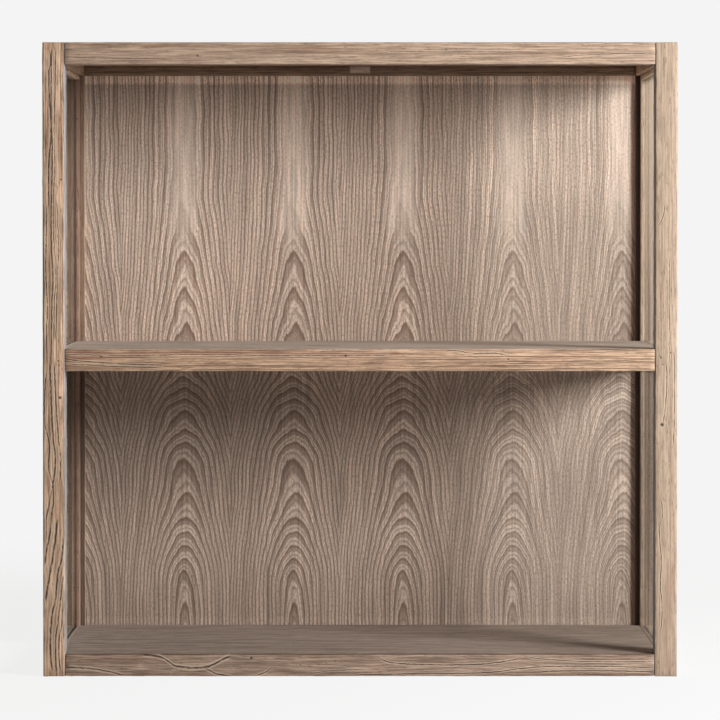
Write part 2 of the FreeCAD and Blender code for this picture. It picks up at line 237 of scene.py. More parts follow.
# Timber grain: how fast each pattern changes along, across and through a piece, per mm
DRIFT_RATE = (0.0032, 0.01)
RIPPLE_RATE = (0.03, 0.08)
RIPPLE_HEIGHT = 1.6
UNEVEN_RATE = 0.11
EACH_RING_RATE = 0.004
FIBRE_RATE = (0.02, 0.42, 0.42)
PORE_RATE = (0.08, 0.45, 0.45)
PATCH_RATE = (0.006, 0.07, 0.07)
CRACK_SHAKE_RATE = 0.10
CRACK_SHAKE = 3.0
CRACK_GAPS_RATE = (0.11, 0.12)

# Veneer: the same, across the leaf and up it; LEAN moves the arches by mm, TOOTH and FLOW by rings
LEAN_RATE = (0.012, 0.006)
LEAN = 12.0
TOOTH_RATE = (0.33, 0.012)
TOOTH = 0.14
FLOW_RATE = (0.035, 0.015)
FLOW = 0.9
STREAK_RATE = (0.30, 0.006)
VENEER_PORE_RATE = (0.60, 0.20)
# Fine lines to each ring, and how fast the rings change from dark to light groups
FINE_LINES = 3.0
BAND_RATE = 0.55

# Heights in mm, hidden behind the shelf, between which looks change from one compartment to the other
BEHIND_SHELF = (480.0, 500.0)
ARCHES_TO_FLAMES = (465.0, 520.0)
# Veneer, spans in mm: from, to, and then the value at each end
# Painted light on the edges under the top rail and over the floor, and painted shade along the left edge
PAINTED_LIGHT_TOP = (948.0, 956.0, 1.0, 1.85)
PAINTED_LIGHT_FOOT = (44.0, 52.0, 1.10, 1.0)
PAINTED_SHADE_LEFT = (-440.0, -370.0, 0.86, 1.0)
# Growth rings bleached towards the right
BLEACHED = (60.0, 320.0, 0.72, 0.40)
# Painted shade on the right above the shelf, by breadth and by height
PAINTED_SHADE_RIGHT = (120.0, 330.0, 0.0, 0.20)
PAINTED_SHADE_FROM = (500.0, 520.0, 0.0, 1.0)
PAINTED_SHADE_UP_TO = (700.0, 800.0, 1.0, 0.0)
# Rubbed paler in the middle below the shelf, by distance from the middle
RUBBED = (70.0, 210.0, 0.13, 0.0)
# The flames' pale hearts have few lines, by half width and by height
CALM_HALF = (16.0, 38.0, 0.80, 0.0)
CALM_RISE = (655.0, 730.0, 0.0, 1.0)

# How strongly timber and metal mirror, where clear varnish would be 0.5
SPECULAR = 0.3
# Glass: what it lets through of each colour, and how much it mirrors when seen straight on
CLEAR = (0.985, 0.992, 0.99, 1.0)
SHINE = 0.04
# Pane on the right: how much of its low-angle shine is a film of dust, below and above the shelf
FILM = (0.27, 0.46)
FILM_WIPE_RATE = (0.018, 0.0015)

# The stiles' inner faces, made grey: their distance from the middle in mm
INNER_FACE = (cad_high.x - POST) / MM

# The dark joint between a front rail and the stiles: where it begins
RAIL_JOINT = INNER_FACE - 1.0

# The panes' outer faces, where the dust on the sills ends: their distance from the middle in mm
GLASS_FACE = (cad_high.x - LIP) / MM
# The back stiles' faces that look into the case: how far back they lie in mm
SHADED_BACK_FACE = (cad_high.y - POST) / MM + 1.0
# Painted shade on those faces: how much of each colour they keep, and then the share of it that they keep
# below the shelf
BACK_STILE_SHADE_LEFT = (0.47, 0.44, 0.43, 0.47)
BACK_STILE_SHADE_RIGHT = (0.075, 0.045, 0.032, 1.0)

# A dark band on the bottom rail's top behind its front arris: from, to, in mm
RAIL_TOP_BAND = (cad_low.y / MM + 5.0, cad_low.y / MM + 9.0)

# Light
KEY_PLACE = (2.84, -1.98, 1.5)
KEY_WIDTH = 1.2
KEY_HEIGHT = 1.2
KEY_POWER = 196.0
AMBIENT = 0.110
REAR_FILL = 0.34
BACKDROP = 0.905
FLOOR_GLOW = 0.08
KEY_TINT = (0.945, 0.985, 1.0)
KEY_AIM = (0, 0, 0.5)
AMBIENT_TINT = (1.0, 0.85, 0.72, 1.0)
WHITE = (1.0, 1.0, 1.0, 1.0)
# The part of the sky, from the side to the rear, over which the fill grows
REAR_SPAN = (0.0, 0.7)
# The floor: its width in metres, the grey that lights the case from below, the faint grey that the
# camera sees near the case, and how far from its middle this fades into the backdrop
STAGE_WIDTH = 60
FLOOR_GREY = (0.4, 0.4, 0.4, 1.0)
FLOOR_FAINT = (0.12, 0.12, 0.12, 1.0)
FLOOR_FADE = (0.8, 2.2)


# Shader nodes, written as a chain of small helpers

class Shader:
    def __init__(self, name):
        self.material = bpy.data.materials.new(name)
        self.material.use_nodes = True
        self.tree = self.material.node_tree
        self.surface = self.tree.nodes["Principled BSDF"]

    def node(self, kind, **settings):
        made = self.tree.nodes.new(kind)
        for key, value in settings.items():
            setattr(made, key, value)
        return made

    def join(self, value, socket):
        if isinstance(value, bpy.types.NodeSocket):
            self.tree.links.new(value, socket)
        else:
            socket.default_value = value

    def math(self, operation, *values):
        made = self.node("ShaderNodeMath", operation=operation)
        for value, socket in zip(values, made.inputs):
            self.join(value, socket)
        return made.outputs[0]

    def times(self, first, *others):
        for other in others:
            first = self.math("MULTIPLY", first, other)
        return first

    def plus(self, first, second):
        return self.math("ADD", first, second)

    def minus(self, first, second):
        return self.math("SUBTRACT", first, second)

    def most(self, first, second):
        return self.math("MAXIMUM", first, second)

    def aside(self, value):
        return self.math("ABSOLUTE", value)

    def slant(self, a, b):
        """The length of the slanting side over two sides at right angles."""
        return self.math("SQRT", self.plus(self.times(a, a), self.times(b, b)))

    def millimetres(self):
        place = self.node("ShaderNodeTexCoord").outputs["Object"]
        scaled = self.node("ShaderNodeVectorMath", operation="SCALE")
        self.join(place, scaled.inputs[0])
        scaled.inputs["Scale"].default_value = 1 / MM
        parts = self.node("ShaderNodeSeparateXYZ")
        self.join(scaled.outputs[0], parts.inputs[0])
        return parts.outputs

    def vector(self, x, y, z):
        made = self.node("ShaderNodeCombineXYZ")
        for value, socket in zip((x, y, z), made.inputs):
            self.join(value, socket)
        return made.outputs[0]

    def stretched(self, place, rates):
        """A place for noise, with its own rate of change for each direction."""
        return self.vector(*(self.times(value, rate) for value, rate in zip(place, rates)))

    def noise(self, place, detail=2.0, roughness=0.5):
        made = self.node("ShaderNodeTexNoise", noise_dimensions="3D")
        self.join(place, made.inputs["Vector"])
        made.inputs["Scale"].default_value = 1.0
        made.inputs["Detail"].default_value = detail
        made.inputs["Roughness"].default_value = roughness
        return made.outputs[0]

    def smooth(self, value, low, high, to_low=0.0, to_high=1.0):
        made = self.node("ShaderNodeMapRange", interpolation_type="SMOOTHSTEP")
        for item, socket in zip((value, low, high, to_low, to_high), made.inputs):
            self.join(item, socket)
        return made.outputs[0]

    def mix(self, share, first, second, blend="MIX"):
        made = self.node("ShaderNodeMix", data_type="RGBA", blend_type=blend)
        self.join(share, made.inputs["Factor"])
        self.join(first, made.inputs["A"])
        self.join(second, made.inputs["B"])
        return made.outputs["Result"]

    def scaled(self, colour, share):
        """A colour made lighter or darker as a whole."""
        return self.mix(1.0, colour, self.vector(share, share, share), "MULTIPLY")

    def curve(self, value, points):
        made = self.node("ShaderNodeFloatCurve")
        self.join(value, made.inputs["Value"])
        made.mapping.extend = "HORIZONTAL"
        line = made.mapping.curves[0]
        line.points[0].location = points[0]
        line.points[-1].location = points[-1]
        for point in points[1:-1]:
            line.points.new(*point)
        made.mapping.update()
        return made.outputs[0]

    def finish(self, colour, height, roughness, bump, distance=0.4 * MM):
        self.join(colour, self.surface.inputs["Base Color"])
        self.join(roughness, self.surface.inputs["Roughness"])
        self.surface.inputs["Specular IOR Level"].default_value = SPECULAR
        relief = self.node("ShaderNodeBump")
        relief.inputs["Strength"].default_value = bump
        relief.inputs["Distance"].default_value = distance
        self.join(height, relief.inputs["Height"])
        self.join(relief.outputs[0], self.surface.inputs["Normal"])
        return self.material


def tint(red, green, blue):
    """A colour as it is seen, 0 to 255, turned into light."""
    light = []
    for value in (red, green, blue):
        share = value / 255
        light.append(share / 12.92 if share <= 0.04045 else ((share + 0.055) / 1.055) ** 2.4)
    return (*light, 1.0)


def on_front(column, row):
    """An image point on the plane of the front faces, as (X, Z) in mm."""
    return (column - MIDDLE_COLUMN) * FRONT_SCALE, EYE_HEIGHT - (row - EYE_ROW) * FRONT_SCALE


def line_gap(s, run, across, line, jitter, upright):
    """How far a place lies from a line that follows the given points, and how much of the line is there."""
    points, width = line
    path = []
    for column, row in points:
        x, z = on_front(column, row)
        path.append((z, x) if upright else (x, z))
    path.sort()
    start, end = path[0][0], path[-1][0]
    low = min(p[1] for p in path) - 1
    high = max(p[1] for p in path) + 1
    shares = [((a - start) / (end - start), (b - low) / (high - low)) for a, b in path]
    share = s.math("DIVIDE", s.minus(run, start), end - start)
    middle = s.math("MULTIPLY_ADD", s.curve(share, shares), high - low, low)
    gap = s.aside(s.minus(s.plus(across, jitter), middle))
    fade = min(0.12, 9 / (end - start))
    there = s.times(s.smooth(share, -0.01, fade), s.smooth(share, 1 - fade, 1.01, 1.0, 0.0))
    return gap, there


def line_marks(s, run, across, lines, jitter, upright, soft=False):
    """Darkness of all the cracks, and of the paler lips beside them."""
    dark, pale = 0.0, 0.0
    for line in lines:
        gap, there = line_gap(s, run, across, line, jitter, upright)
        width = line[1] if soft else line[1] * CRACK_SPREAD
        core = s.smooth(gap, 0.0 if soft else width * CRACK_CORE, width, 1.0, 0.0)
        dark = s.most(dark, s.times(core, there))
        if not soft:
            rise = s.smooth(gap, *(width * share for share in LIP_RISE))
            lip = s.times(rise, s.smooth(gap, *(width * share for share in LIP_FALL), 1.0, 0.0))
            pale = s.most(pale, s.times(lip, there))
    return dark, pale


def spot_mark(s, run, across, spot, upright):
    column, row, radius = spot
    x, z = on_front(column, row)
    place = (z, x) if upright else (x, z)
    gap = s.slant(s.minus(run, place[0]), s.minus(across, place[1]))
    return s.smooth(gap, radius * 0.4, radius * 1.3, 1.0, 0.0)


def late_wood(s, phase, rise, full, fall):
    """Dark late wood in a growth ring: it comes on slowly and ends at once."""
    return s.times(s.smooth(phase, rise, full), s.smooth(phase, fall, 1.0, 1.0, 0.0))


def wood(name, along, pale, dark, stain, seed, ring=5.0, contrast=0.6, wander=3.0, streak=0.35,
         rough=1.0, dullness=0.62, lines=(), spots=(), stains=(), stain_tint=None, grey_inside=False,
         low_shade=1.0, grey_within=0.0, grey=None, joint_beyond=0.0, dark_band_above=0.0, painted_shade=None):
    """Sawn timber: growth rings round a heart beside the piece, worn fibres, and its own cracks."""
    s = Shader(name)
    x, y, z = s.millimetres()
    length, across, through = {"x": (x, z, y), "y": (y, z, x), "z": (z, x, y)}[along]
    run = s.plus(length, seed * PIECE_STEP)
    slow = s.vector(s.times(run, DRIFT_RATE[0]), s.times(across, DRIFT_RATE[1]), seed)
    drift = s.times(s.minus(s.noise(slow), 0.5), wander * 4)
    ripple_place = s.vector(s.times(run, RIPPLE_RATE[0]), s.times(across, RIPPLE_RATE[1]), seed + 9.0)
    ripple = s.times(s.minus(s.noise(ripple_place, 3.0), 0.5), RIPPLE_HEIGHT)
    beside = s.plus(s.plus(across, HEART_BESIDE[0]), drift)
    radius = s.slant(beside, s.plus(s.plus(through, HEART_BESIDE[1]), ripple))
    uneven = s.noise(s.vector(s.times(radius, UNEVEN_RATE), seed, 0.0))
    rings = s.plus(s.math("DIVIDE", s.plus(radius, ripple), ring), s.times(uneven, 4.0))
    late = late_wood(s, s.math("FRACT", rings), *TIMBER_RING)
    ring_number = s.times(s.math("FLOOR", rings), RING_STEP)
    each = s.noise(s.vector(ring_number, s.times(run, EACH_RING_RATE), seed), 1.0)
    late = s.times(late, s.smooth(each, 0.3, 0.7, 0.15, 1.0))
    place = (run, across, through)
    fibre = s.noise(s.stretched(place, FIBRE_RATE), 4.0, 0.7)
    pores = s.smooth(s.noise(s.stretched(place, PORE_RATE), 3.0, 0.6), 0.56, 0.68)
    patches = s.smooth(s.noise(s.stretched(place, PATCH_RATE), 3.0, 0.6), 0.40, 0.66)
    colour = s.mix(s.times(patches, streak), pale, stain)
    colour = s.mix(s.times(late, contrast), colour, dark)
    shade = s.smooth(fibre, 0.34, 0.66, 1 - 0.22 * rough, 1 + 0.20 * rough)
    # Painted shade: darker below the shelf
    if low_shade < 1:
        shade = s.times(shade, s.smooth(z, *BEHIND_SHELF, low_shade, 1.0))
    colour = s.scaled(colour, shade)
    colour = s.mix(s.times(pores, 0.5), colour, dark)
    height = s.minus(fibre, s.plus(s.times(late, 0.4), pores))
    if grey_inside:
        inside = s.smooth(s.aside(x), INNER_FACE + 0.4, INNER_FACE + 1.0, 1.0, 0.0)
        colour = s.mix(inside, colour, s.scaled(INNER_GREY, shade))
    # Painted shade on the back stiles' faces that look into the case, deeper below the shelf
    if painted_shade:
        face = s.smooth(y, SHADED_BACK_FACE, SHADED_BACK_FACE + 1.0, 1.0, 0.0)
        face = s.times(face, s.smooth(s.aside(x), GLASS_FACE - 0.5, GLASS_FACE, 1.0, 0.0))
        low = s.smooth(z, *BEHIND_SHELF, painted_shade[3], 1.0)
        darkening = s.vector(*(s.times(low, share) for share in painted_shade[:3]))
        colour = s.mix(face, colour, s.mix(1.0, colour, darkening, "MULTIPLY"))
    if grey_within:
        dusty = s.smooth(s.aside(x), grey_within - 0.5, grey_within, 1.0, 0.0)
        colour = s.mix(dusty, colour, s.scaled(grey, shade))
    if joint_beyond:
        joint = s.smooth(s.aside(x), joint_beyond, joint_beyond + 0.4, 0.0, 0.9)
        colour = s.mix(joint, colour, OPEN_JOINT)
    shake = s.noise(s.vector(s.times(run, CRACK_SHAKE_RATE), seed, 3.0), 4.0, 0.6)
    jitter = s.times(s.minus(shake, 0.5), CRACK_SHAKE)
    upright = along == "z"
    skin = s.smooth(y, *SKIN, 1.0, 0.0)
    if dark_band_above:
        darkening = s.smooth(z, dark_band_above, dark_band_above + 0.5, 0.0, 0.80)
        darkening = s.times(darkening, s.smooth(y, *RAIL_TOP_BAND, 1.0, 0.0))
        colour = s.mix(darkening, colour, RAIL_TOP_DARK)
    if stains:
        marks = line_marks(s, length, across, stains, jitter, upright, True)[0]
        marks = s.times(marks, skin, s.smooth(fibre, 0.2, 0.7, 0.8, 0.35))
        colour = s.mix(marks, colour, stain_tint)
    if lines or spots:
        marks, lips = line_marks(s, length, across, lines, jitter, upright)
        colour = s.mix(s.times(lips, skin, 0.45), colour, CRACK_LIP)
        broken = s.noise(s.vector(s.times(run, CRACK_GAPS_RATE[0]), s.times(across, CRACK_GAPS_RATE[1]), 6.0))
        marks = s.times(marks, s.smooth(broken, 0.36, 0.56, 0.40, 1.0))
        for spot in spots:
            marks = s.most(marks, spot_mark(s, length, across, spot, upright))
        marks = s.times(marks, skin)
        colour = s.mix(s.times(marks, 0.90), colour, CRACK)
        height = s.minus(height, s.times(marks, 3.0))
    return s.finish(colour, height, dullness, 0.35)


def veneer():
    """Slip-matched leaves: nested arches low down, long flames above."""
    s = Shader("back_veneer")
    x, y, z = s.millimetres()
    offset = s.minus(x, LEAF_EDGE)
    place = s.math("FLOORED_MODULO", offset, LEAF_WIDTH)
    leaf = s.math("FLOOR", s.math("DIVIDE", offset, LEAF_WIDTH))
    slow = s.noise(s.vector(s.times(place, LEAN_RATE[0]), s.times(z, LEAN_RATE[1]), 3.0))
    u = s.aside(s.plus(s.minus(place, ARCH_FROM_EDGE), s.times(s.minus(slow, 0.5), LEAN)))
    u = s.times(u, s.smooth(z, *ARCHES_TO_FLAMES, ARCH_BREADTH, 1.0))
    u = s.plus(u, s.smooth(z, *ARCHES_TO_FLAMES, 0.0, FLAME_POINT))
    share = s.curve(s.times(z, MM), [(height, behind / HEART_RANGE) for height, behind in HEART_BEHIND])
    radius = s.math("DIVIDE", s.slant(u, s.times(share, HEART_RANGE)), HEART_RANGE)
    counted = s.curve(radius, [(r / HEART_RANGE, rings / RING_RANGE) for r, rings in RINGS_FROM_HEART])
    rings = s.times(counted, RING_RANGE)
    tooth = s.noise(s.vector(s.times(place, TOOTH_RATE[0]), s.times(z, TOOTH_RATE[1]), 7.0))
    flow = s.noise(s.vector(s.times(place, FLOW_RATE[0]), s.times(z, FLOW_RATE[1]), 11.0))
    rings = s.plus(rings, s.times(s.minus(tooth, 0.5), TOOTH))
    rings = s.plus(rings, s.times(s.minus(flow, 0.5), FLOW))
    late = late_wood(s, s.math("FRACT", rings), *VENEER_RING)
    fine_line = late_wood(s, s.math("FRACT", s.times(rings, FINE_LINES)), *FINE_RING)
    band = s.noise(s.vector(s.times(rings, BAND_RATE), leaf, 4.0), 1.0)
    calm = s.times(s.smooth(u, *CALM_HALF), s.smooth(z, *CALM_RISE))
    late = s.times(late, s.minus(1.0, calm))
    fine_line = s.times(fine_line, s.minus(1.0, calm))
    streaks = s.noise(s.vector(s.times(x, STREAK_RATE[0]), s.times(z, STREAK_RATE[1]), 1.0), 3.0, 0.6)
    grain = s.vector(s.times(x, VENEER_PORE_RATE[0]), s.times(z, VENEER_PORE_RATE[1]), 5.0)
    pores = s.noise(grain, 3.0, 0.75)
    dashes = s.times(s.smooth(pores, 0.47, 0.61), s.minus(1.0, s.times(calm, 0.45)))
    colour = s.mix(s.times(late, s.smooth(x, *BLEACHED)), VENEER_PALE, VENEER_DARK)
    colour = s.mix(s.times(fine_line, 0.46), colour, VENEER_DARK)
    shade = s.smooth(streaks, 0.32, 0.68, 0.76, 1.18)
    shade = s.times(shade, s.smooth(band, 0.35, 0.65, 0.86, 1.14))
    tone = s.noise(s.vector(s.times(leaf, LEAF_STEP), 2.0, 0.0), 0.0)
    shade = s.times(shade, s.smooth(tone, 0.2, 0.8, 0.93, 1.07))
    # Painted light and shade: lighter edges at top and foot, light and shade by height, shade on the left and
    # on the right above the shelf; below the shelf the middle is rubbed paler
    painted_light_and_rubbing = s.times(s.smooth(z, *PAINTED_LIGHT_TOP), s.smooth(z, *PAINTED_LIGHT_FOOT))
    light_by_height = s.curve(s.times(z, MM), [(height, brightness / PAINTED_LIGHT_RANGE) for height, brightness in PAINTED_LIGHT_BY_HEIGHT])
    painted_light_and_rubbing = s.times(painted_light_and_rubbing, light_by_height, PAINTED_LIGHT_RANGE, s.smooth(x, *PAINTED_SHADE_LEFT))
    right_shade = s.times(s.smooth(x, *PAINTED_SHADE_RIGHT), s.smooth(z, *PAINTED_SHADE_FROM), s.smooth(z, *PAINTED_SHADE_UP_TO))
    rubbed = s.times(s.smooth(s.aside(x), *RUBBED), s.smooth(z, *ARCHES_TO_FLAMES, 1.0, 0.0))
    painted_light_and_rubbing = s.times(painted_light_and_rubbing, s.minus(1.0, right_shade), s.plus(1.0, rubbed))
    colour = s.scaled(colour, s.times(shade, painted_light_and_rubbing))
    colour = s.mix(s.times(dashes, 0.50), colour, VENEER_DARK)
    height = s.minus(pores, s.plus(late, dashes))
    return s.finish(colour, height, 0.6, 0.2, 0.2 * MM)


def metal(name, colour, roughness):
    s = Shader(name)
    x, y, z = s.millimetres()
    tarnish = s.noise(s.vector(x, y, z), 3.0)
    s.surface.inputs["Metallic"].default_value = 0.8
    return s.finish(s.mix(tarnish, colour, TARNISH), tarnish, roughness, 0.2)


def pane(name, film_low, film_high):
    """Thin clear glass. At a low angle it mirrors, and a film of dust shows on it."""
    s = Shader(name)
    x, y, z = s.millimetres()
    clear = s.node("ShaderNodeBsdfTransparent")
    clear.inputs[0].default_value = CLEAR
    mirror = s.node("ShaderNodeBsdfGlossy")
    mirror.inputs["Roughness"].default_value = 0.0
    film = s.node("ShaderNodeBsdfTranslucent")
    film.inputs[0].default_value = PALE_DUST
    dusty = s.node("ShaderNodeMixShader")
    wiped = s.noise(s.vector(5.0, s.times(y, FILM_WIPE_RATE[0]), s.times(z, FILM_WIPE_RATE[1])))
    left_on = s.smooth(wiped, 0.38, 0.62, 0.30, 1.0)
    s.join(s.times(left_on, s.smooth(z, *BEHIND_SHELF, film_low, film_high)), dusty.inputs[0])
    s.join(mirror.outputs[0], dusty.inputs[1])
    s.join(film.outputs[0], dusty.inputs[2])
    facing = s.node("ShaderNodeLayerWeight").outputs["Facing"]
    slope = s.math("MULTIPLY_ADD", s.math("POWER", facing, 5.0), 1 - SHINE, SHINE)
    both = s.node("ShaderNodeMixShader")
    s.join(slope, both.inputs[0])
    s.join(clear.outputs[0], both.inputs[1])
    s.join(dusty.outputs[0], both.inputs[2])
    s.tree.nodes.remove(s.surface)
    s.join(both.outputs[0], s.tree.nodes["Material Output"].inputs["Surface"])
    return s.material


# Colours of plain timber, of the veneer, and of what lies on or in them
PALE = tint(196, 166, 141)
DARK = tint(104, 74, 55)
STAIN = tint(168, 136, 112)
VENEER_PALE = tint(218, 194, 176)
VENEER_DARK = tint(114, 85, 67)
CRACK = tint(46, 32, 25)
CRACK_LIP = tint(226, 200, 176)
OPEN_JOINT = tint(38, 30, 26)
RAIL_TOP_DARK = tint(52, 40, 33)
INNER_GREY = tint(154, 151, 152)
PALE_DUST = tint(214, 190, 168)
TARNISH = tint(70, 58, 48)


def frame_wood(name, along, seed, pale=PALE, dark=DARK, stain=STAIN, **options):
    return wood(name, along, pale, dark, stain, seed, **options)


def grey_wood(name, along, seed, pale, dark, stain):
    return wood(name, along, pale, dark, stain, seed, ring=22.0, contrast=0.45, wander=8.0, streak=0.9,
                rough=1.6, dullness=0.9)


def dress(piece, material):
    piece.data.materials.clear()
    piece.data.materials.append(material)


# Modelling: a cube is cut, pulled out, eased, divided and worn

def edit(piece):
    bpy.ops.object.select_all(action="DESELECT")
    piece.select_set(True)
    bpy.context.view_layer.objects.active = piece
    bpy.ops.object.mode_set(mode="EDIT")


def leave():
    bpy.ops.object.mode_set(mode="OBJECT")


def cube(name, low, high):
    bpy.ops.object.select_all(action="DESELECT")
    bpy.ops.mesh.primitive_cube_add(size=1, location=(low + high) / 2)
    made = bpy.context.object
    made.name = made.data.name = name
    made.scale = high - low
    bpy.ops.object.transform_apply(location=True, rotation=True, scale=True)
    return made


def bisect(piece, axis, at):
    point, normal = Vector(), Vector()
    point[axis], normal[axis] = at, 1
    edit(piece)
    bpy.ops.mesh.select_all(action="SELECT")
    bpy.ops.mesh.bisect(plane_co=point, plane_no=normal)
    leave()


def pull(piece, chosen, offset):
    """Extrude the faces that the test picks by their centre and normal."""
    edit(piece)
    bpy.ops.mesh.select_all(action="DESELECT")
    bpy.ops.mesh.select_mode(type="FACE")
    leave()
    for face in piece.data.polygons:
        face.select = chosen(face.center, face.normal)
    edit(piece)
    bpy.ops.mesh.extrude_region_move(TRANSFORM_OT_translate={"value": offset})
    leave()


def apply_modifier(piece, modifier):
    bpy.ops.object.select_all(action="DESELECT")
    piece.select_set(True)
    bpy.context.view_layer.objects.active = piece
    bpy.ops.object.modifier_apply(modifier=modifier.name)


def ease(piece, width):
    bevel = piece.modifiers.new("ease", "BEVEL")
    bevel.width = width
    bevel.segments = 2
    bevel.limit_method = "ANGLE"
    bevel.angle_limit = math.radians(EASE_ANGLE)
    apply_modifier(piece, bevel)


def divide(piece, axis, step):
    """Cut every edge that runs along the piece into short lengths."""
    low = min(v.co[axis] for v in piece.data.vertices)
    high = max(v.co[axis] for v in piece.data.vertices)
    cuts = max(1, round((high - low) / step))
    edit(piece)
    bpy.ops.mesh.select_mode(type="EDGE")
    bpy.ops.mesh.select_all(action="DESELECT")
    leave()
    corners = piece.data.vertices
    for edge in piece.data.edges:
        line = corners[edge.vertices[1]].co - corners[edge.vertices[0]].co
        edge.select = abs(line[axis]) > (high - low) / 2
    edit(piece)
    bpy.ops.mesh.subdivide(number_cuts=cuts)
    leave()


def wear(piece, name, depth, size, contrast, arris_only):
    """Press the surface in a little, most of all along the arrises."""
    group = piece.vertex_groups.new(name=name)
    for vertex in piece.data.vertices:
        flat = max(abs(n) for n in vertex.normal)
        weight = 1.0 if flat < FLAT else (0.0 if arris_only else FLAT_WEAR)
        group.add([vertex.index], weight, "REPLACE")
    cloud = bpy.data.textures.new(name, "CLOUDS")
    cloud.noise_scale = size
    cloud.noise_depth = 2
    cloud.contrast = contrast
    cloud.use_clamp = True
    press = piece.modifiers.new(name, "DISPLACE")
    press.texture = cloud
    press.texture_coords = "LOCAL"
    press.mid_level = 1.0
    press.strength = depth
    press.vertex_group = name
    apply_modifier(piece, press)


def support(piece, axis):
    """Cut lines a little inside the arrises, so that wear there leaves the flat faces flat."""
    for cross in range(3):
        if cross == axis:
            continue
        low = min(v.co[cross] for v in piece.data.vertices)
        high = max(v.co[cross] for v in piece.data.vertices)
        bisect(piece, cross, low + WORN_BAND)
        bisect(piece, cross, high - WORN_BAND)


def finish_timber(piece, node, axis, material):
    support(piece, axis)
    ease(piece, ARRIS)
    divide(piece, axis, SEGMENT)
    wear(piece, "dents", DENT_DEPTH, DENT_SIZE, 1.0, False)
    wear(piece, "chips", CHIP_DEPTH, CHIP_SIZE, 2.5, True)
    bpy.ops.object.shade_smooth_by_angle(angle=math.radians(SOFT_ANGLE))
    dress(piece, material)
    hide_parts(node)
    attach(piece, "root")


def post(side, x_sign, face, y_sign, material):
    node = "post_%s_%s" % (face, side)
    low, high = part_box(node)
    start, end = low.copy(), high.copy()
    if y_sign < 0:
        end.y = low.y + POST
    else:
        start.y = high.y - POST
    piece = cube("stile_%s_%s" % (face, side), start, end)
    lip_line = x_sign * (cad_high.x - LIP)
    bisect(piece, 0, lip_line)
    pull(piece, lambda c, n: n.y * y_sign < -0.9 and c.x * x_sign > abs(lip_line), (0, -y_sign * BEAD, 0))
    finish_timber(piece, node, 2, material)


def cross_rail(face, y_sign, level, material):
    node = "rail_%s_%s" % (face, level)
    low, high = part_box(node)
    inner = cad_high.x - POST
    low.x, high.x = -inner, inner
    seat = high.z - (TOP_BOARD if level == "top" else BOARD)
    lip_line = y_sign * (cad_high.y - LIP)
    if face == "back" and level == "bottom":
        lip_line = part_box("back_panel")[0].y
    piece = cube("beam_%s_%s" % (face, level), low, Vector((high.x, high.y, seat)))
    bisect(piece, 1, lip_line)
    pull(piece, lambda c, n: n.z > 0.9 and c.y * y_sign > abs(lip_line), (0, 0, high.z - seat))
    finish_timber(piece, node, 0, material)


def side_rail(side, x_sign, level, material):
    node = "rail_%s_%s" % (side, level)
    low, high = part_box(node)
    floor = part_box("rail_front_" + level)[0].z
    inner, outer = cad_high.x - POST, cad_high.x
    lip_line = cad_high.x - LIP
    bead_line = lip_line - GLASS - BEAD
    open_y = cad_high.y - POST - BEAD
    seat = high.z - (TOP_BOARD if level == "top" else BOARD)
    start, end = sorted((x_sign * inner, x_sign * outer))
    piece = cube("edge_%s_%s" % (side, level), Vector((start, -open_y, floor)), Vector((end, open_y, seat)))
    bisect(piece, 0, x_sign * lip_line)
    if level == "top":
        pull(piece, lambda c, n: n.z > 0.9 and c.x * x_sign > lip_line, (0, 0, high.z - seat))
    else:
        bisect(piece, 0, x_sign * bead_line)
        pull(piece, lambda c, n: n.z > 0.9 and c.x * x_sign > bead_line, (0, 0, high.z - BEAD - seat))
        pull(piece, lambda c, n: n.z > 0.9 and c.x * x_sign > lip_line, (0, 0, BEAD))
    if level != "bottom":
        pull(piece, lambda c, n: n.z < -0.9 and c.x * x_sign > lip_line, (0, 0, -BEAD))
    for end_sign in (-1, 1):
        pull(piece, lambda c, n: n.y * end_sign > 0.9 and c.x * x_sign < lip_line, (0, end_sign * BEAD, 0))
    finish_timber(piece, node, 1, material)


BOARD_TONES = {
    "floor_board": (tint(156, 138, 125), tint(108, 90, 78), tint(137, 118, 105)),
    "shelf_board": (tint(199, 182, 168), tint(132, 112, 98), tint(172, 154, 141)),
    "top_board": (tint(175, 154, 138), tint(116, 96, 82), tint(146, 126, 112)),
}
BEAD_TONES = {
    "left": (tint(156, 124, 105), tint(86, 60, 47), tint(140, 107, 90)),
    "right": (tint(180, 154, 132), tint(104, 78, 60), tint(162, 134, 112)),
}
HEAD_TONES = (tint(222, 198, 173), tint(150, 122, 98), tint(200, 174, 150))
SILL_BOARD = {"lower": "floor_board", "upper": "shelf_board"}
SIDES = (("left", -1), ("right", 1))
FACES = (("front", -1), ("back", 1))
LEVELS = ("bottom", "shelf", "top")

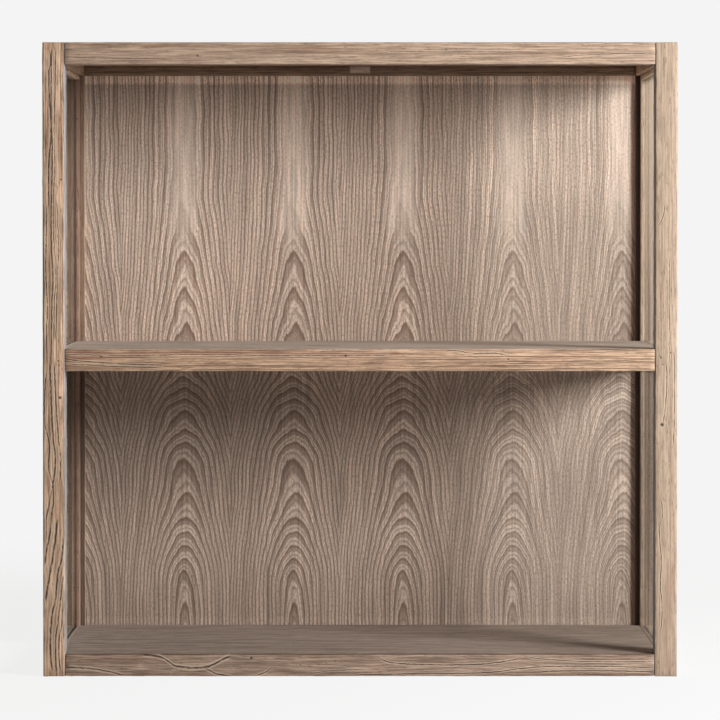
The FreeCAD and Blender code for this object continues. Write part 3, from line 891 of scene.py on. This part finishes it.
WORN_AND_SHADED_TIMBERS = {
    "stile_front_left": dict(pale=tint(222, 184, 154), stain=tint(150, 116, 90), lines=LEFT_STILE_LINES,
                             spots=LEFT_STILE_SPOTS, contrast=0.75, streak=0.6, grey_inside=True, rough=2.0,
                             stains=LEFT_STILE_STAINS, stain_tint=tint(118, 90, 72)),
    "stile_front_right": dict(pale=tint(183, 158, 136), stain=tint(166, 139, 117), lines=RIGHT_STILE_LINES,
                              spots=RIGHT_STILE_SPOTS, contrast=0.30, grey_inside=True,
                              stains=RIGHT_STILE_STAINS, stain_tint=tint(164, 131, 111)),
    "beam_front_top": dict(pale=tint(186, 158, 136), stain=tint(160, 128, 104), lines=TOP_RAIL_LINES,
                           joint_beyond=RAIL_JOINT, spots=TOP_RAIL_SPOTS, contrast=0.6, rough=1.5,
                           stains=TOP_RAIL_STAINS, stain_tint=tint(140, 108, 86)),
    "beam_front_shelf": dict(pale=tint(197, 162, 134), stain=tint(158, 118, 94), lines=SHELF_EDGE_LINES,
                             joint_beyond=RAIL_JOINT, spots=SHELF_EDGE_SPOTS, contrast=0.95, rough=2.0,
                             stains=SHELF_EDGE_STAINS, stain_tint=tint(138, 92, 72)),
    "beam_front_bottom": dict(pale=tint(167, 141, 122), stain=tint(136, 111, 95), lines=BOTTOM_RAIL_LINES,
                              joint_beyond=RAIL_JOINT, dark_band_above=34.4, spots=BOTTOM_RAIL_SPOTS,
                              contrast=0.35, ring=6.0, streak=0.6, rough=2.1,
                              stains=BOTTOM_RAIL_STAINS, stain_tint=tint(120, 98, 84)),
    # The back stiles get painted shade on their faces that look into the case
    "stile_back_left": dict(contrast=0.5, painted_shade=BACK_STILE_SHADE_LEFT),
    "stile_back_right": dict(contrast=0.5, painted_shade=BACK_STILE_SHADE_RIGHT),
    # The rear top rail: darker wood, with painted shade under the top
    "beam_back_top": dict(pale=tint(150, 122, 100), stain=tint(110, 84, 66), contrast=0.9, rough=1.8),
}

DUSTY_EDGES = {
    "edge_left_bottom": "floor_board", "edge_right_bottom": "floor_board",
    "edge_left_shelf": "shelf_board", "edge_right_shelf": "shelf_board",
}


def timber_wood(name, along, seed):
    options = dict(WORN_AND_SHADED_TIMBERS.get(name, {}))
    if name in DUSTY_EDGES:
        options.update(grey_within=GLASS_FACE, grey=BOARD_TONES[DUSTY_EDGES[name]][0])
    return frame_wood(name, along, seed, **options)


seed = 1.0
for side, x_sign in SIDES:
    for face, y_sign in FACES:
        seed += 1.0
        name = "stile_%s_%s" % (face, side)
        post(side, x_sign, face, y_sign, timber_wood(name, "z", seed))
    for level in LEVELS:
        seed += 1.0
        name = "edge_%s_%s" % (side, level)
        side_rail(side, x_sign, level, timber_wood(name, "y", seed))
for face, y_sign in FACES:
    for level in LEVELS:
        if (face, level) == ("back", "shelf"):
            continue
        seed += 1.0
        name = "beam_%s_%s" % (face, level)
        cross_rail(face, y_sign, level, timber_wood(name, "x", seed))

# Materials of the pieces that stay as they are
glass = {"left": pane("pane_glass_left", 0.0, 0.0), "right": pane("pane_glass_right", *FILM)}
pin_steel = metal("pin_steel", tint(40, 32, 28), 0.6)
screw_steel = metal("screw_steel", tint(150, 145, 138), 0.4)
for label, node in nodes.items():
    if label.startswith("glass"):
        dress(node, glass[label.split("_")[1]])
    elif label.startswith("bead_pins"):
        dress(node, pin_steel)
    elif label.endswith("screws"):
        dress(node, screw_steel)
    elif label in BOARD_TONES:
        dress(node, grey_wood(label, "x", 41.0 + len(label), *BOARD_TONES[label]))
dress(nodes["back_panel"], veneer())
dress(nodes["rail_back_shelf"], frame_wood("cleat", "x", 51.0))
block_wood = frame_wood("stop_block", "x", 53.0, pale=tint(139, 114, 99), stain=tint(114, 91, 77))
dress(nodes["stop_block"], block_wood)


def glazing_strip(side, level, place, material):
    """One bead, eased and dented along its arrises."""
    node = "bead_%s_%s_%s" % (side, level, place)
    low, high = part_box(node)
    piece = cube("strip_%s_%s_%s" % (side, level, place), low, high)
    ease(piece, BEAD_ARRIS)
    divide(piece, 2 if place in ("front", "back") else 1, SEGMENT)
    wear(piece, "dents", BEAD_DENT, BEAD_DENT_SIZE, 1.2, True)
    bpy.ops.object.shade_smooth_by_angle(angle=math.radians(SOFT_ANGLE))
    dress(piece, material)
    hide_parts(node)
    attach(piece, "root")


for side, x_sign in SIDES:
    tones = BEAD_TONES[side]
    # The right-hand upright beads get painted shade below the shelf
    upright = wood("bead_upright_" + side, "z", *tones, 31.0 + x_sign, ring=2.6,
                   low_shade=1.0 if side == "left" else 0.6)
    head = wood("bead_head_" + side, "y", *HEAD_TONES, 35.0 + x_sign, ring=2.6, rough=1.4)
    for level in ("lower", "upper"):
        sill = wood("bead_sill_%s_%s" % (side, level), "y", *BOARD_TONES[SILL_BOARD[level]], 37.0 + x_sign,
                    contrast=0.3, joint_beyond=GLASS_FACE - 6.0)
        for place in ("front", "back"):
            glazing_strip(side, level, place, upright)
        glazing_strip(side, level, "sill", sill)
        glazing_strip(side, level, "head", head)


# Stage, light and camera

def stage_floor():
    s = Shader("stage_floor")
    s.surface.inputs["Base Color"].default_value = FLOOR_GREY
    s.surface.inputs["Roughness"].default_value = 0.9
    s.surface.inputs["Specular IOR Level"].default_value = 0.0
    glow = s.node("ShaderNodeEmission")
    glow.inputs["Color"].default_value = WHITE
    glow.inputs["Strength"].default_value = BACKDROP
    faint = s.node("ShaderNodeBsdfDiffuse")
    faint.inputs["Color"].default_value = FLOOR_FAINT
    soft = s.node("ShaderNodeEmission")
    soft.inputs["Strength"].default_value = BACKDROP - FLOOR_GLOW
    near = s.node("ShaderNodeAddShader")
    s.join(faint.outputs[0], near.inputs[0])
    s.join(soft.outputs[0], near.inputs[1])
    place = s.node("ShaderNodeTexCoord").outputs["Object"]
    length = s.node("ShaderNodeVectorMath", operation="LENGTH")
    s.join(place, length.inputs[0])
    fade = s.smooth(length.outputs["Value"], *FLOOR_FADE)
    seen = s.node("ShaderNodeMixShader")
    s.join(fade, seen.inputs[0])
    s.join(near.outputs[0], seen.inputs[1])
    s.join(glow.outputs[0], seen.inputs[2])
    path = s.node("ShaderNodeLightPath")
    direct = s.most(path.outputs["Is Camera Ray"], path.outputs["Is Glossy Ray"])
    direct = s.most(direct, path.outputs["Is Transmission Ray"])
    out = s.node("ShaderNodeMixShader")
    s.join(direct, out.inputs[0])
    s.join(s.surface.outputs[0], out.inputs[1])
    s.join(seen.outputs[0], out.inputs[2])
    s.join(out.outputs[0], s.tree.nodes["Material Output"].inputs["Surface"])
    bpy.ops.object.select_all(action="DESELECT")
    bpy.ops.mesh.primitive_plane_add(size=STAGE_WIDTH)
    floor = bpy.context.object
    floor.name = "stage_floor"
    floor.data.materials.append(s.material)


def surroundings():
    world = bpy.data.worlds.new("studio")
    bpy.context.scene.world = world
    world.use_nodes = True
    tree = world.node_tree
    light = tree.nodes["Background"]
    light.inputs["Color"].default_value = AMBIENT_TINT
    place = tree.nodes.new("ShaderNodeTexCoord")
    parts = tree.nodes.new("ShaderNodeSeparateXYZ")
    tree.links.new(place.outputs["Generated"], parts.inputs[0])
    rear = tree.nodes.new("ShaderNodeMapRange")
    rear.interpolation_type = "SMOOTHSTEP"
    tree.links.new(parts.outputs["Y"], rear.inputs["Value"])
    rear.inputs["From Min"].default_value = REAR_SPAN[0]
    rear.inputs["From Max"].default_value = REAR_SPAN[1]
    rear.inputs["To Min"].default_value = AMBIENT
    rear.inputs["To Max"].default_value = AMBIENT + REAR_FILL
    tree.links.new(rear.outputs[0], light.inputs["Strength"])
    seen = tree.nodes.new("ShaderNodeBackground")
    seen.inputs["Color"].default_value = WHITE
    seen.inputs["Strength"].default_value = BACKDROP
    path = tree.nodes.new("ShaderNodeLightPath")
    direct = None
    for ray in ("Is Camera Ray", "Is Glossy Ray", "Is Transmission Ray"):
        if direct is None:
            direct = path.outputs[ray]
            continue
        either = tree.nodes.new("ShaderNodeMath")
        either.operation = "MAXIMUM"
        tree.links.new(direct, either.inputs[0])
        tree.links.new(path.outputs[ray], either.inputs[1])
        direct = either.outputs[0]
    mix = tree.nodes.new("ShaderNodeMixShader")
    tree.links.new(direct, mix.inputs[0])
    tree.links.new(light.outputs[0], mix.inputs[1])
    tree.links.new(seen.outputs[0], mix.inputs[2])
    tree.links.new(mix.outputs[0], tree.nodes["World Output"].inputs["Surface"])


def key_light():
    bpy.ops.object.select_all(action="DESELECT")
    bpy.ops.object.light_add(type="AREA", location=KEY_PLACE)
    lamp = bpy.context.object
    lamp.name = "key_softbox"
    lamp.data.shape = "RECTANGLE"
    lamp.data.size = KEY_WIDTH
    lamp.data.size_y = KEY_HEIGHT
    lamp.data.energy = KEY_POWER
    lamp.data.color = KEY_TINT
    aim = Vector(KEY_AIM) - Vector(KEY_PLACE)
    lamp.rotation_euler = aim.to_track_quat("-Z", "Y").to_euler()


def camera():
    bpy.ops.object.select_all(action="DESELECT")
    bpy.ops.object.camera_add()
    made = bpy.context.object
    tilt = math.atan((LEVEL_SHIFT - KEPT_SHIFT) * SENSOR / LENS)
    made.location = (0, cad_low.y - CAMERA_BACK, CAMERA_HEIGHT)
    made.rotation_euler = (math.radians(90) + tilt, 0, 0)
    made.data.lens = LENS
    made.data.sensor_width = SENSOR
    made.data.shift_y = KEPT_SHIFT
    made.data.dof.use_dof = False
    made.data.clip_end = 200
    bpy.context.scene.camera = made


stage_floor()
surroundings()
key_light()
camera()
bpy.context.scene.view_settings.view_transform = "Standard"
